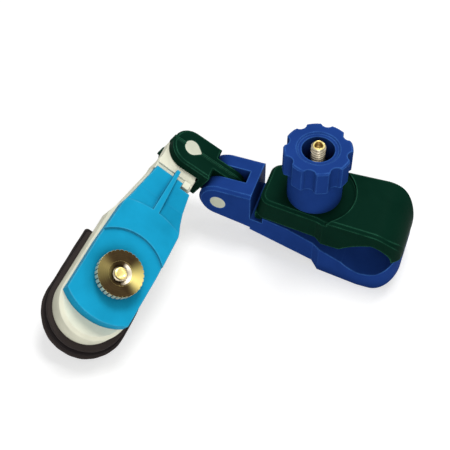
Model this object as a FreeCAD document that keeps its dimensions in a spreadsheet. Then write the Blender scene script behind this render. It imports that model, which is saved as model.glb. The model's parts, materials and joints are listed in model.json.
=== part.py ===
import FreeCAD, Part
import Sketcher
import math
import os
import re
from FreeCAD import Placement, Rotation, Vector

# Two screw-tightened clips joined by a hinged link, in millimetres, +Z up.
#
# The blue clip lies along +X.  The document's origin is the middle of its flat foot.
# Each clip is drawn in a frame of its own:
#   blue clip   x along the clip from the hinge pin's axis, z from that axis
#   link        x from the blue clip's hinge pin to the white clip's, z along the latter
#   tongue      origin on the white clip's hinge pin, x along the tongue, z along the pin
#   white clip  origin where the tongue bends into the clip, x along the clip, z up its screw

SIZES = {
    # hinge of the blue clip
    "pin_height": 17.0,
    "pin_radius": 2.65,
    "press_clearance": 0.02,
    "running_clearance": 0.06,
    "seat_clearance": 0.1,
    "join_overlap": 1.0,
    "ear_radius": 6.8,
    "clevis_half_width": 8.25,
    "clevis_slot_half": 2.6,
    "clevis_slot_end": 7.9,
    "block_end": 11.3,
    # blue base, side view
    "groove_end": 15.6,
    "seat_level": -1.7,
    "seat_end": 24.0,
    "seat_end_level": -2.7,
    "cradle_start": 44.0,
    "cradle_start_level": -8.6,
    "cradle_radius": 10.6,
    "base_lip_start": 60.4,
    "base_lip_level": -3.9,
    "base_end": 62.4,
    "base_lip_bevel": 1.6,
    "toe_radius": 8.0,
    "foot_start": 36.0,
    "foot_middle": 45.0,
    "heel_end": 33.6,
    "heel_level": -14.4,
    # blue base, plan
    "heel_half_width": 10.2,
    "pad_half_start": 11.4,
    "pad_half_width": 13.2,
    "pad_straight": 3.8,
    "base_corner_radius": 9.0,
    "base_corner_overrun": 0.4,
    "edge_round": 1.0,
    # underside of the blue base
    "keel_start": 10.0,
    "keel_half": 2.5,
    "keel_top": -7.4,
    "keel_rake": 3.0,
    "boss_radius": 6.6,
    # clamp screws
    "screw_radius": 2.4,
    "screw_head_radius": 4.4,
    "screw_head_height": 2.4,
    "screw_head_recess": 0.6,
    "screw_tip_chamfer": 0.5,
    # green jaw
    "screw_place": 30.3,
    "jaw_top": 9.0,
    "heel_roll_place": 13.8,
    "heel_roll_level": -3.0,
    "heel_roll_radius": 1.2,
    "jaw_heel_top": 14.6,
    "skirt_level": -1.1,
    "shoulder_place": 34.0,
    "shoulder_end": 36.4,
    "jaw_pad_level": -2.8,
    "arch_start": 42.5,
    "arch_top_at": 52.4,
    "arch_top_level": 3.4,
    "arch_root_radius": 30.0,
    "arch_end": 59.6,
    "arch_radius": 7.2,
    "jaw_lip_level": -3.55,
    "jaw_end": 62.6,
    "jaw_nose_radius": 10.5,
    "jaw_lug_half": 7.2,
    "jaw_root_half": 7.1,
    "jaw_shoulder_half": 10.7,
    "jaw_pad_half_start": 11.5,
    "jaw_pad_half": 12.2,
    "jaw_pad_straight": 4.0,
    "jaw_corner_radius": 7.2,
    "jaw_corner_overrun": 0.6,
    "jaw_heel_corner": 4.0,
    "jaw_wall": 2.2,
    "jaw_plate": 3.2,
    "jaw_hollow_start": 17.4,
    "jaw_hollow_end": 40.6,
    "knob_seat_radius": 13.6,
    "knob_seat_depth": 1.3,
    "screw_slot_play": 0.4,
    "screw_slot_run": 2.8,
    # knob
    "washer_radius": 6.3,
    "washer_thickness": 1.0,
    "knob_neck_radius": 8.9,
    "knob_neck_height": 12.3,
    "knob_radius": 10.9,
    "knob_height": 21.4,
    "knob_bevel": 0.5,
    "knob_washer_clearance": 0.3,
    "knob_bore_radius": 5.2,
    "knob_rim_width": 1.7,
    "knob_rim_step": 0.5,
    "knob_bore_floor": 9.6,
    "insert_radius": 3.7,
    "lobe_count": 8,
    "lobe_turn": 1.5,
    "notch_half_mouth": 2.45,
    "notch_half_floor": 1.45,
    "notch_floor_radius": 2.2,
    "notch_flare_radius": 1.6,
    "notch_depth": 1.6,
    "knob_screw_stand": 1.6,
    # link
    "link_pitch": 31.15,
    "link_length": 17.1,
    "link_half_thick": 6.2,
    "link_half_width": 6.7,
    "link_shoulder": 7.35,
    "link_tongue_half": 2.35,
    "link_tongue_radius": 6.2,
    "tongue_half_thick": 2.3,
    "tongue_radius": 6.7,
    "tongue_gap": 0.25,
    "ridge_half": 0.4,
    "ridge_height": 0.35,
    "key_reach": 3.9,
    "key_depth": 1.5,
    "tongue_nose_gap": 0.5,
    "link_round": 0.7,
    # white base
    "swing": 87.7,
    "tongue_bend": 11.45,
    "bend_place": 11.2,
    "neck_clearance": 0.8,
    "neck_root": 1.5,
    "neck_half_width": 7.0,
    "white_waist_at": 15.5,
    "white_waist_half": 9.8,
    "white_wide_at": 21.0,
    "white_half_width": 11.6,
    "white_end": 61.0,
    "white_top": 1.5,
    "white_floor": -7.0,
    "white_round": 1.2,
    "lug_start": -1.4,
    "lug_length": 2.4,
    "lug_width": 2.4,
    "lug_gap": 0.5,
    "lug_top": 3.0,
    # light blue jaw
    "nut_place": 40.6,
    "blue_roll_place": 1.75,
    "blue_roll_level": 1.1,
    "blue_roll_radius": 1.0,
    "blue_jaw_gap": 0.3,
    "step_level": 4.6,
    "step_end": 9.8,
    "slope_end": 17.3,
    "land_start": 15.4,
    "land_front_radius": 26.8,
    "land_level": 7.4,
    "nut_seat_radius": 15.3,
    "nut_seat_depth": 0.8,
    "blue_lip_start": 50.0,
    "blue_jaw_end": 55.4,
    "blue_jaw_end_radius": 18.0,
    "blue_jaw_heel_half": 6.8,
    "heel_notch_side": 3.2,
    "blue_jaw_waist_at": 14.0,
    "blue_jaw_waist_half": 9.1,
    "blue_jaw_wide_at": 18.6,
    "blue_jaw_wide_half": 10.4,
    "blue_jaw_half": 11.1,
    "blue_jaw_full_at": 34.0,
    "blue_jaw_corner_at": 51.8,
    "gusset_tip": -1.85,
    "gusset_tip_half": 0.6,
    "gusset_tip_height": 0.5,
    "gusset_root_half": 1.15,
    "blue_hollow_start": 17.0,
    "blue_hollow_end": 47.6,
    "blue_plate": 2.4,
    "blue_slot_run": 1.0,
    "blue_wall": 2.0,
    # thumb nut
    "nut_radius": 7.4,
    "nut_thickness": 2.7,
    "nut_collar_radius": 5.4,
    "nut_collar_height": 0.9,
    "nut_washer_thickness": 0.8,
    "nut_washer_radius": 6.6,
    "nut_dish_radius": 3.9,
    "nut_dish_depth": 1.2,
    "knurl_count": 32,
    "knurl_depth": 0.3,
    "nut_screw_stand": 0.2,
    # strap
    "strap_thickness": 1.75,
    "strap_start": 27.8,
    "strap_start_step": 1.0,
    "strap_left": 13.2,
    "strap_right": 13.4,
    "strap_margin": 0.2,
    "strap_wide_at": 45.0,
    "strap_wide_right": 13.9,
    "strap_wide_margin": 0.75,
    "strap_end": 63.1,
    "strap_end_margin": 0.7,
    "strap_washer_radius": 7.0,
    "strap_washer_thickness": 1.0,
}

doc = FreeCAD.newDocument("hinged_clips")
sheet = doc.addObject("Spreadsheet::Sheet", "dims")
for row, (alias, number) in enumerate(SIZES.items(), start=1):
    sheet.set(f"A{row}", alias)
    sheet.set(f"B{row}", str(number))
    sheet.setAlias(f"B{row}", alias)
doc.recompute()

sub_parts = []


# Sizes ---------------------------------------------------------------------------------

def in_sheet(text):
    """The same formula with each alias written as a cell of the sheet."""
    return re.sub(r"[a-z_]+", lambda word: cell(word.group()), text)


def cell(word):
    return "dims." + word if word in SIZES else word


def size(text):
    """The value of a formula of aliases."""
    return float(sheet.evalExpression(in_sheet(text)))


def bind(thing, path, text):
    thing.setExpression(path, in_sheet(text))


# Sketches ------------------------------------------------------------------------------

def new_body(label, placement):
    body = doc.addObject("PartDesign::Body", label)
    body.Label = label
    bind(body, "Placement", placement)
    sub_parts.append(body)
    return body


def new_sketch(body, plane, name, level="0", frame=None):
    """A sketch on one of the body's origin planes, raised by level or moved to a frame."""
    sketch = body.newObject("Sketcher::SketchObject", name)
    features = [item for item in body.Origin.OriginFeatures if item.Role == plane + "_Plane"]
    sketch.AttachmentSupport = [(features[0], "")]
    sketch.MapMode = "FlatFace"
    if frame is not None:
        bind(sketch, "AttachmentOffset", frame)
    elif level != "0":
        bind(sketch, "AttachmentOffset.Base.z", level)
    return sketch


def fix_point(sketch, edge, end, x, y):
    """Tie one end of an edge to the formulas x and y."""
    for kind, axis, text in (("DistanceX", -2, x), ("DistanceY", -1, y)):
        if text == "0":
            sketch.addConstraint(Sketcher.Constraint("PointOnObject", edge, end, axis))
            continue
        number = sketch.addConstraint(Sketcher.Constraint(kind, -1, 1, edge, end, size(text)))
        bind(sketch, f"Constraints[{number}]", text)


def arc_edge(begin, finish, radius):
    """An arc of less than half a turn; a positive radius turns left from begin to finish."""
    chord = finish - begin
    reach = abs(radius)
    height = math.sqrt(max(reach ** 2 - (chord.Length / 2) ** 2, 0.0))
    side = Vector(-chord.y, chord.x, 0).normalize() * math.copysign(height, radius)
    centre = (begin + finish) / 2 + side
    circle = Part.Circle(centre, Vector(0, 0, 1), reach)
    first, last = (begin, finish) if radius > 0 else (finish, begin)
    return Part.ArcOfCircle(circle, circle.parameter(first), circle.parameter(last))


def outline(sketch, corners):
    """A closed outline.  Each corner is (x, y), or (x, y, radius) where an arc leads to it."""
    points = [Vector(size(corner[0]), size(corner[1]), 0) for corner in corners]
    ends = []
    for index, corner in enumerate(corners):
        begin, finish = points[index - 1], points[index]
        if len(corner) == 3:
            radius = size(corner[2])
            edge = sketch.addGeometry(arc_edge(begin, finish, radius), False)
            number = sketch.addConstraint(Sketcher.Constraint("Radius", edge, abs(radius)))
            bind(sketch, f"Constraints[{number}]", f"abs({corner[2]})")
            ends.append((edge, 1, 2) if radius > 0 else (edge, 2, 1))
        else:
            edge = sketch.addGeometry(Part.LineSegment(begin, finish), False)
            ends.append((edge, 1, 2))
    for index, corner in enumerate(corners):
        edge, _, finish_end = ends[index]
        following, begin_end, _ = ends[(index + 1) % len(corners)]
        sketch.addConstraint(
            Sketcher.Constraint("Coincident", edge, finish_end, following, begin_end))
        fix_point(sketch, edge, finish_end, corner[0], corner[1])


def mirrored(half):
    """A plan outline from its +Y half, listed clockwise from the hinge end to the nose."""
    back = []
    for index in range(len(half) - 1, -1, -1):
        x, y = half[index][:2]
        if y == "0":
            continue
        follows_arc = index + 1 < len(half) and len(half[index + 1]) == 3
        corner = (x, f"-({y})")
        back.append(corner + (half[index + 1][2],) if follows_arc else corner)
    return list(half) + back


def ring(sketch, x, y, radius):
    centre = Vector(size(x), size(y), 0)
    circle = Part.Circle(centre, Vector(0, 0, 1), size(radius))
    edge = sketch.addGeometry(circle, False)
    number = sketch.addConstraint(Sketcher.Constraint("Radius", edge, size(radius)))
    bind(sketch, f"Constraints[{number}]", radius)
    fix_point(sketch, edge, 3, x, y)


def box_outline(sketch, left, right, low, high):
    outline(sketch, [(left, low), (right, low), (right, high), (left, high)])


# Features ------------------------------------------------------------------------------

def pad(body, sketch, length, both_sides=False, downwards=False):
    feature = body.newObject("PartDesign::Pad", sketch.Name + "_pad")
    feature.Profile = sketch
    feature.SideType = "Symmetric" if both_sides else "One side"
    feature.Reversed = downwards
    bind(feature, "Length", length)
    settle(body, feature)
    return feature


def pocket(body, sketch, length=None, upwards=False):
    """Cut along the sketch's normal: both ways and right through when no length is given."""
    before = body.Shape.Volume
    feature = body.newObject("PartDesign::Pocket", sketch.Name + "_pocket")
    feature.Profile = sketch
    if length is None:
        feature.SideType = "Symmetric"
        feature.Type = "Length"
        bind(feature, "Length", "8 * base_end")
    else:
        feature.Reversed = upwards
        bind(feature, "Length", length)
    settle(body, feature)
    if body.Shape.Volume > before - 1e-3:
        raise RuntimeError(f"{feature.Name} cuts nothing")
    return feature


def revolve(body, sketch):
    feature = body.newObject("PartDesign::Revolution", sketch.Name + "_turned")
    feature.Profile = sketch
    feature.ReferenceAxis = (sketch, ["V_Axis"])
    feature.Angle = 360
    settle(body, feature)
    return feature


def settle(body, feature):
    doc.recompute()
    if "Invalid" in feature.State or "Error" in feature.State:
        raise RuntimeError(f"{body.Label}: {feature.Name} failed")
    if not feature.isDerivedFrom("PartDesign::Feature"):
        return
    sketch = getattr(feature, "Profile", None)
    if sketch:
        sketch[0].Visibility = False


def turned_body(label, placement, corners):
    """A piece turned about its z axis from a closed outline of radius and height."""
    body = new_body(label, placement)
    sketch = new_sketch(body, "XZ", label + "_profile")
    outline(sketch, corners)
    revolve(body, sketch)
    return body


def trim_to_plan(body, name, half):
    """Cut away everything outside a plan outline."""
    sketch = new_sketch(body, "XY", name)
    reach = "3 * base_end"
    box_outline(sketch, f"-({reach})", reach, f"-({reach})", reach)
    outline(sketch, mirrored(half))
    return pocket(body, sketch)


def dress(body, name, kind, path, text, chosen):
    """A fillet or chamfer on the edges that a test picks."""
    base = body.Tip
    names = [f"Edge{number}" for number, edge in enumerate(base.Shape.Edges, start=1)
             if chosen(edge)]
    if not names:
        raise RuntimeError(f"{name} finds no edge")
    feature = body.newObject(kind, name)
    feature.Base = (base, names)
    bind(feature, path, text)
    settle(body, feature)
    return feature


def soften(body, name, radius, chosen):
    return dress(body, name, "PartDesign::Fillet", "Radius", radius, chosen)


def bevel(body, name, width, chosen):
    return dress(body, name, "PartDesign::Chamfer", "Size", width, chosen)


def within(edge, low_x=-1e3, high_x=1e3, low_z=-1e3, high_z=1e3):
    """Whether an edge lies inside a span of x and z."""
    box = edge.BoundBox
    slack = 1e-4
    return (box.XMin > low_x - slack and box.XMax < high_x + slack
            and box.ZMin > low_z - slack and box.ZMax < high_z + slack)


# Frames --------------------------------------------------------------------------------

def moved(x="0", y="0", z="0"):
    return f"placement(vector({x}; {y}; {z}); rotation(vector(0; 0; 1); 0))"


def turned(axis, angle):
    return f"placement(vector(0; 0; 0); rotation(vector({axis}); {angle}))"


Y_AXIS = "0; 1; 0"
Z_AXIS = "0; 0; 1"

BLUE_CLIP = moved("-foot_middle", "0", "pin_height")
LINK = " * ".join([BLUE_CLIP, turned(Y_AXIS, "link_pitch"), turned(Z_AXIS, "180")])
LINK_PIN = " * ".join([LINK, moved("link_length")])
TONGUE = " * ".join([LINK_PIN, turned(Z_AXIS, "swing")])
WHITE_CLIP = " * ".join([TONGUE, moved("bend_place"), turned(Y_AXIS, "tongue_bend")])
KNOB = " * ".join([BLUE_CLIP, moved("screw_place", "0", "jaw_top - knob_seat_depth")])
NUT = " * ".join([WHITE_CLIP, moved("nut_place", "0", "land_level - nut_seat_depth")])
NUT_TOP = "nut_washer_thickness + nut_collar_height + nut_thickness"


# Blue base -----------------------------------------------------------------------------

def blue_base():
    body = new_body("blue_base", BLUE_CLIP)
    slope = "(atan(heel_level / heel_end)"
    slope += " - acos(ear_radius / sqrt(heel_level ^ 2 + heel_end ^ 2)))"
    touch = (f"ear_radius * cos({slope})", f"ear_radius * sin({slope})")
    under_block = f"{touch[1]} - (block_end - {touch[0]}) * cos({slope}) / sin({slope})"
    block = new_sketch(body, "XZ", "hinge_block")
    outline(block, [
        touch,
        ("-ear_radius", "0", "-ear_radius"),
        ("0", "ear_radius", "-ear_radius"),
        ("block_end", "ear_radius"),
        ("block_end", under_block),
    ])
    pad(body, block, "2 * clevis_half_width", both_sides=True)
    bevel(body, "block_edges", "edge_round",
          lambda edge: within(edge, high_x=size("block_end"), low_z=size("ear_radius"))
          and edge.BoundBox.XLength > 1)
    side = new_sketch(body, "XZ", "base_side")
    outline(side, [
        ("block_end", under_block),
        ("block_end", "heel_roll_level - heel_roll_radius"),
        ("groove_end", "heel_roll_level - heel_roll_radius"),
        ("groove_end", "seat_level"),
        ("seat_end", "seat_end_level"),
        ("cradle_start", "cradle_start_level"),
        ("base_lip_start", "base_lip_level", "cradle_radius"),
        ("base_end - base_lip_bevel", "base_lip_level"),
        ("base_end", "base_lip_level - base_lip_bevel"),
        ("base_end", "toe_radius - pin_height"),
        ("base_end - toe_radius", "-pin_height", "-toe_radius"),
        ("foot_start", "-pin_height"),
        ("heel_end", "heel_level"),
    ])
    pad(body, side, "4 * pad_half_width", both_sides=True)
    corner = "base_end + base_corner_overrun"
    trim_to_plan(body, "base_plan", [
        ("-2 * ear_radius", "clevis_half_width"),
        ("block_end", "clevis_half_width"),
        ("heel_end", "heel_half_width"),
        ("foot_start", "pad_half_start"),
        (f"{corner} - base_corner_radius - pad_straight", "pad_half_width"),
        (f"{corner} - base_corner_radius", "pad_half_width"),
        (corner, "pad_half_width - base_corner_radius", "-base_corner_radius"),
    ])
    keel = new_sketch(body, "XZ", "keel")
    outline(keel, [
        ("keel_start", "keel_top"),
        ("foot_start + join_overlap", "keel_top"),
        ("foot_start + join_overlap", "-pin_height"),
        ("keel_start + keel_rake", "-pin_height"),
    ])
    pad(body, keel, "2 * keel_half", both_sides=True)
    boss = new_sketch(body, "XY", "screw_boss", level="-pin_height")
    ring(boss, "screw_place", "0", "boss_radius")
    pad(body, boss, "pin_height + keel_top")
    slot = new_sketch(body, "XY", "clevis_slot")
    box_outline(slot, "-3 * ear_radius", "clevis_slot_end",
                "-clevis_slot_half", "clevis_slot_half")
    pocket(body, slot)
    hinge = new_sketch(body, "XZ", "base_hinge_bore")
    ring(hinge, "0", "0", "pin_radius + press_clearance")
    pocket(body, hinge)
    bore = new_sketch(body, "XY", "base_screw_bore")
    ring(bore, "screw_place", "0", "screw_radius + press_clearance")
    pocket(body, bore)
    head = new_sketch(body, "XY", "screw_head_bore", level="-pin_height")
    ring(head, "screw_place", "0", "screw_head_radius + press_clearance")
    pocket(body, head, "screw_head_recess + screw_head_height", upwards=True)


def base_hinge_pin():
    body = new_body("base_hinge_pin", BLUE_CLIP)
    sketch = new_sketch(body, "XZ", "base_pin_section")
    ring(sketch, "0", "0", "pin_radius")
    pad(body, sketch, "2 * clevis_half_width", both_sides=True)


def screw(label, placement, head_floor, tip):
    """A clamp screw: round head, plain shank and bevelled tip."""
    turned_body(label, placement, [
        ("0", head_floor),
        ("screw_head_radius", head_floor),
        ("screw_head_radius", f"{head_floor} + screw_head_height"),
        ("screw_radius", f"{head_floor} + screw_head_height"),
        ("screw_radius", f"{tip} - screw_tip_chamfer"),
        ("screw_radius - screw_tip_chamfer", tip),
        ("0", tip),
    ])


# Green jaw -----------------------------------------------------------------------------

def green_jaw():
    body = new_body("green_jaw", BLUE_CLIP)
    side = new_sketch(body, "XZ", "jaw_side")
    outline(side, [
        ("heel_roll_place - heel_roll_radius", "skirt_level"),
        ("jaw_heel_top", "jaw_top"),
        ("jaw_end - jaw_nose_radius", "jaw_top"),
        ("jaw_end", "jaw_top - jaw_nose_radius", "-jaw_nose_radius"),
        ("jaw_end", "jaw_lip_level"),
        ("arch_end", "jaw_lip_level"),
        ("arch_top_at", "arch_top_level", "arch_radius"),
        ("arch_start", "jaw_pad_level", "arch_root_radius"),
        ("shoulder_end", "jaw_pad_level"),
        ("shoulder_place", "skirt_level"),
    ])
    pad(body, side, "4 * jaw_pad_half", both_sides=True)
    corner = "jaw_end + jaw_corner_overrun"
    trim_to_plan(body, "jaw_plan", [
        ("0", "jaw_root_half"),
        ("shoulder_place", "jaw_shoulder_half"),
        ("shoulder_end", "jaw_pad_half_start"),
        (f"{corner} - jaw_corner_radius - jaw_pad_straight", "jaw_pad_half"),
        (f"{corner} - jaw_corner_radius", "jaw_pad_half"),
        (corner, "jaw_pad_half - jaw_corner_radius", "-jaw_corner_radius"),
    ])
    soften(body, "jaw_heel_corners", "jaw_heel_corner",
           lambda edge: within(edge, high_x=size("jaw_heel_top"))
           and edge.BoundBox.ZLength > 1)
    seat = new_sketch(body, "XY", "knob_seat", level="jaw_top")
    outline(seat, [
        ("0", "-knob_seat_radius"),
        ("screw_place", "-knob_seat_radius"),
        ("screw_place + knob_seat_radius", "0", "knob_seat_radius"),
        ("screw_place", "knob_seat_radius", "knob_seat_radius"),
        ("0", "knob_seat_radius"),
    ])
    pocket(body, seat, "knob_seat_depth")
    low = size("jaw_top - knob_seat_depth")
    bevel(body, "jaw_heel_edges", "edge_round",
          lambda edge: within(edge, high_x=size("screw_place + knob_seat_radius") - 0.1,
                              low_z=low, high_z=low))
    bevel(body, "jaw_edges", "edge_round",
          lambda edge: within(edge, low_z=size("jaw_top"), high_z=size("jaw_top"),
                              high_x=size("jaw_end - jaw_nose_radius"))
          and edge.Curve.TypeId == "Part::GeomLine" and edge.BoundBox.YLength < 2)
    lug = new_sketch(body, "XZ", "jaw_lug")
    outline(lug, [
        ("heel_roll_place - heel_roll_radius", "heel_roll_level", "-heel_roll_radius"),
        ("heel_roll_place - heel_roll_radius", "skirt_level"),
        ("heel_roll_place + heel_roll_radius", "skirt_level + join_overlap"),
        ("heel_roll_place + heel_roll_radius", "heel_roll_level"),
        ("heel_roll_place", "heel_roll_level - heel_roll_radius", "-heel_roll_radius"),
    ])
    pad(body, lug, "2 * jaw_lug_half", both_sides=True)
    start_half = "jaw_root_half + (jaw_shoulder_half - jaw_root_half)"
    start_half += " * jaw_hollow_start / shoulder_place"
    hollow = new_sketch(body, "XY", "jaw_hollow", level="jaw_top - knob_seat_depth - jaw_plate")
    outline(hollow, mirrored([
        ("jaw_hollow_start", f"{start_half} - jaw_wall"),
        ("jaw_hollow_end", "jaw_shoulder_half - jaw_wall"),
    ]))
    pocket(body, hollow, "4 * jaw_top")
    screw_slot(body, "jaw_screw_slot", "screw_place", "screw_slot_run", "jaw_top", "2 * jaw_plate")


def screw_slot(body, name, place, run, level, depth):
    """A slot for a clamp screw, longer away from the jaw's heel, about which the jaw turns."""
    sketch = new_sketch(body, "XY", name, level=level)
    half = "(screw_radius + screw_slot_play)"
    left = f"{place} - screw_slot_play"
    right = f"{place} + {run}"
    outline(sketch, [
        (left, f"-{half}", half),
        (right, f"-{half}"),
        (f"{right} + {half}", "0", half),
        (right, half, half),
        (left, half),
        (f"{left} - {half}", "0", half),
    ])
    pocket(body, sketch, depth)


# Knob ----------------------------------------------------------------------------------

def knob():
    body = turned_body("knob", KNOB, [
        ("washer_radius + knob_washer_clearance", "0"),
        ("knob_neck_radius", "0"),
        ("knob_neck_radius", "knob_neck_height"),
        ("knob_radius", "knob_neck_height"),
        ("knob_radius", "knob_height - knob_bevel"),
        ("knob_radius - knob_bevel", "knob_height"),
        ("knob_bore_radius + knob_rim_width", "knob_height"),
        ("knob_bore_radius + knob_rim_width - knob_rim_step", "knob_height - knob_rim_step"),
        ("knob_bore_radius", "knob_height - knob_rim_step"),
        ("knob_bore_radius", "knob_bore_floor"),
        ("insert_radius", "knob_bore_floor"),
        ("insert_radius", "washer_thickness + seat_clearance"),
        ("washer_radius + knob_washer_clearance", "washer_thickness + seat_clearance"),
    ])
    notch = new_sketch(body, "XY", "knob_notch", frame=" * ".join([
        moved("0", "0", "knob_neck_height"), turned(Z_AXIS, "lobe_turn")]))
    mouth = "sqrt(knob_radius ^ 2 - notch_half_mouth ^ 2)"
    bulge = "(notch_floor_radius - sqrt(notch_floor_radius ^ 2 - notch_half_floor ^ 2))"
    floor = f"knob_radius - notch_depth + {bulge}"
    outline(notch, [
        ("knob_radius + join_overlap", "-notch_half_mouth"),
        ("knob_radius + join_overlap", "notch_half_mouth"),
        (mouth, "notch_half_mouth"),
        (floor, "notch_half_floor", "-notch_flare_radius"),
        (floor, "-notch_half_floor", "notch_floor_radius"),
        (mouth, "-notch_half_mouth", "-notch_flare_radius"),
    ])
    cut = pocket(body, notch, "knob_height", upwards=True)
    repeat(body, "knob_notches", cut, notch, "lobe_count")


def knob_insert():
    turned_body("knob_insert", KNOB, [
        ("screw_radius + running_clearance", "washer_thickness + 2 * seat_clearance"),
        ("insert_radius", "washer_thickness + 2 * seat_clearance"),
        ("insert_radius", "knob_bore_floor"),
        ("screw_radius + running_clearance", "knob_bore_floor"),
    ])


def washer(label, placement, radius, thickness):
    turned_body(label, placement, [
        ("screw_radius + running_clearance", "0"),
        (radius, "0"),
        (radius, thickness),
        ("screw_radius + running_clearance", thickness),
    ])


# Link ----------------------------------------------------------------------------------

def green_link():
    body = new_body("green_link", LINK)
    plan = new_sketch(body, "XY", "link_plan")
    outline(plan, [
        ("link_shoulder", "-link_half_width"),
        ("link_length", "-link_half_width"),
        ("link_length + link_half_width", "0", "link_half_width"),
        ("link_length", "link_half_width", "link_half_width"),
        ("link_shoulder", "link_half_width"),
    ])
    pad(body, plan, "2 * link_half_thick", both_sides=True)
    bevel(body, "link_edges", "link_round",
          lambda edge: abs(abs(edge.BoundBox.Center.z) - size("link_half_thick")) < 1e-4)
    disc = new_sketch(body, "XZ", "link_disc")
    outline(disc, [
        ("0", "-link_tongue_radius", "link_tongue_radius"),
        ("link_shoulder + link_round + join_overlap", "-link_half_thick"),
        ("link_shoulder + link_round + join_overlap", "link_half_thick"),
        ("0", "link_tongue_radius"),
        ("-link_tongue_radius", "0", "link_tongue_radius"),
    ])
    pad(body, disc, "2 * link_tongue_half", both_sides=True)
    ridge = new_sketch(body, "XZ", "link_ridge")
    ridge_end = "link_length + link_half_width + ridge_height"
    ridge_top = "(link_tongue_radius + ridge_height)"
    outline(ridge, [
        ("0", f"-{ridge_top}", ridge_top),
        (ridge_end, "-(link_half_thick + ridge_height)"),
        (ridge_end, "link_half_thick + ridge_height"),
        ("0", ridge_top),
        (f"-{ridge_top}", "0", ridge_top),
    ])
    pad(body, ridge, "2 * ridge_half", both_sides=True)
    slot = new_sketch(body, "XZ", "link_slot")
    box_outline(slot, "link_length - tongue_radius - tongue_nose_gap", "3 * link_length",
                "-(tongue_half_thick + tongue_gap)", "tongue_half_thick + tongue_gap")
    pocket(body, slot)
    lower = new_sketch(body, "XZ", "link_base_bore")
    ring(lower, "0", "0", "pin_radius + running_clearance")
    pocket(body, lower)
    upper = new_sketch(body, "XY", "link_pin_bore")
    ring(upper, "link_length", "0", "pin_radius + press_clearance")
    pocket(body, upper)
    key = new_sketch(body, "XY", "link_keyway",
                     frame=moved("link_length", "0", "link_half_thick + 2 * ridge_height"))
    key_outline(key, "(pin_radius + press_clearance)", "(key_reach + 2 * press_clearance)")
    pocket(body, key, "key_depth + 2 * ridge_height")


def key_outline(sketch, radius, reach):
    """A point whose sides run on from the pin as tangents."""
    x = f"-({radius} ^ 2 / {reach})"
    y = f"({radius} * sqrt(1 - ({radius} / {reach}) ^ 2))"
    outline(sketch, [(f"-{reach}", "0"), (x, f"-{y}"), (x, y)])


def link_hinge_pin():
    body = new_body("link_hinge_pin", LINK_PIN)
    shank = new_sketch(body, "XY", "link_pin_section")
    ring(shank, "0", "0", "pin_radius")
    pad(body, shank, "2 * link_half_thick", both_sides=True)
    key = new_sketch(body, "XY", "pin_key", level="link_half_thick")
    key_outline(key, "pin_radius", "key_reach")
    pad(body, key, "key_depth", downwards=True)


# White base ----------------------------------------------------------------------------

def white_base():
    body = new_body("white_base", WHITE_CLIP)
    side = new_sketch(body, "XZ", "white_side")
    groove_left = "blue_roll_place - blue_roll_radius - blue_jaw_gap"
    groove_right = "blue_roll_place + blue_roll_radius + blue_jaw_gap"
    groove_floor = "blue_roll_level - blue_roll_radius"
    outline(side, [
        (neck_place("white_floor"), "white_floor"),
        (neck_place("white_top"), "white_top"),
        (groove_left, "white_top"),
        (groove_left, groove_floor),
        (groove_right, groove_floor),
        (groove_right, "white_top"),
        ("white_end + join_overlap", "white_top"),
        ("white_end + join_overlap", "white_floor"),
    ])
    pad(body, side, "4 * white_half_width", both_sides=True)
    trim_to_plan(body, "white_plan", [
        ("-bend_place", "neck_half_width"),
        ("0", "neck_half_width"),
        ("white_waist_at", "white_waist_half"),
        ("white_wide_at", "white_half_width"),
        ("white_end - white_half_width", "white_half_width"),
        ("white_end", "0", "-white_half_width"),
    ])
    bevel(body, "white_edges", "white_round",
          lambda edge: within(edge, low_x=size("white_wide_at"), low_z=size("white_top"),
                              high_z=size("white_top")))
    lug = new_sketch(body, "XY", "heel_lug", level=groove_floor)
    lug_side = "heel_notch_side + lug_gap"
    box_outline(lug, "lug_start", "lug_start + lug_length", lug_side, f"{lug_side} + lug_width")
    pad(body, lug, f"lug_top - ({groove_floor})")
    tongue = new_sketch(body, "XY", "white_tongue", frame=turned(Y_AXIS, "-tongue_bend"))
    outline(tongue, [
        ("-bend_place", "-tongue_radius", "tongue_radius"),
        ("-neck_root", "-tongue_radius"),
        ("-neck_root", "tongue_radius"),
        ("-bend_place", "tongue_radius"),
        ("-(bend_place + tongue_radius)", "0", "tongue_radius"),
    ])
    pad(body, tongue, "2 * tongue_half_thick", both_sides=True)
    hinge = new_sketch(body, "XY", "white_hinge_bore", frame=turned(Y_AXIS, "-tongue_bend"))
    ring(hinge, "-bend_place", "0", "pin_radius + running_clearance")
    pocket(body, hinge)
    bore = new_sketch(body, "XY", "white_screw_bore")
    ring(bore, "nut_place", "0", "screw_radius + press_clearance")
    pocket(body, bore)


def neck_place(level):
    """Where the neck's face, square to the tongue, meets a level."""
    reach = "(bend_place - link_half_width - neck_clearance)"
    return f"-({reach} / cos(tongue_bend)) - ({level}) * tan(tongue_bend)"


# Light blue jaw ------------------------------------------------------------------------

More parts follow.
